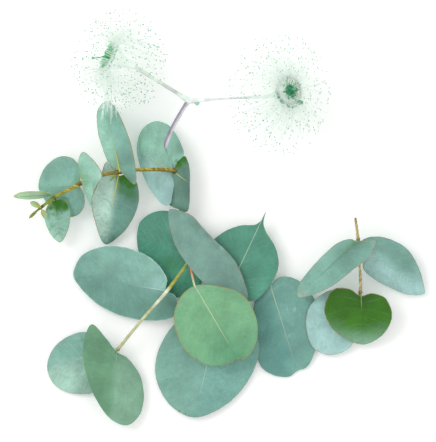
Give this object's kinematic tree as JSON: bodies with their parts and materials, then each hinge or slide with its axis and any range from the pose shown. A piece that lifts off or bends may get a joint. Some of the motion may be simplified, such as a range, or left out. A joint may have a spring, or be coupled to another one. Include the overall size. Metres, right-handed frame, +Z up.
{
  "type": "flowering eucalyptus sprig",
  "caption": "Branched gum tree sprig with opposite round blue-green leaves, a reddish leaf stalk and a forked flower stalk bearing fluffy white blossoms on funnel cups.",
  "frame": {"origin": "on the flat strip under the main stem, where it lies on the surface", "axes": "+Z up from the surface that the sprig lies on, +Y from the main stem's cut end towards the blossoms, +X towards the right-hand shoot"},
  "size_m": [0.2061, 0.2061, 0.0508],
  "materials": {
    "wood_stem": "dry bark, matt",
    "green_stem": "smooth young bark, satin",
    "flower_stalk": "waxy bloom, satin",
    "glaucous_leaf": "waxy blue-green bloom, matt",
    "fresh_leaf": "bright green, satin",
    "deep_leaf": "deep green, satin",
    "blossom_cup": "pale green, waxy",
    "blossom_disc": "green, moist satin",
    "filament": "white, matt"
  },
  "bodies": {
    "root": {"main_stem": "wood_stem", "lower_shoot_stem": "green_stem", "right_shoot_stem": "wood_stem", "flower_stalk": "flower_stalk", "tip_bud": "fresh_leaf", "upper_leaf_1a": "glaucous_leaf", "upper_leaf_1b": "glaucous_leaf", "upper_leaf_2a": "glaucous_leaf", "upper_leaf_2b": "glaucous_leaf", "upper_leaf_3a": "glaucous_leaf", "upper_leaf_3b": "glaucous_leaf", "upper_leaf_4a": "glaucous_leaf", "upper_leaf_4b": "glaucous_leaf", "upper_leaf_5a": "glaucous_leaf", "upper_leaf_5b": "glaucous_leaf", "middle_leaf_1": "glaucous_leaf", "middle_leaf_2": "glaucous_leaf", "middle_leaf_3": "glaucous_leaf", "middle_leaf_4": "fresh_leaf", "middle_leaf_5": "glaucous_leaf", "middle_leaf_6": "glaucous_leaf", "middle_leaf_7": "glaucous_leaf", "lower_leaf_a": "glaucous_leaf", "lower_leaf_b": "glaucous_leaf", "right_leaf_1a": "glaucous_leaf", "right_leaf_1b": "glaucous_leaf", "right_leaf_2a": "deep_leaf", "right_leaf_2b": "glaucous_leaf", "left_blossom_cup": "blossom_cup", "left_blossom_disc": "blossom_disc", "left_blossom_stamens": "filament", "right_blossom_cup": "blossom_cup", "right_blossom_disc": "blossom_disc", "right_blossom_stamens": "filament"}
  },
  "joints": []
}
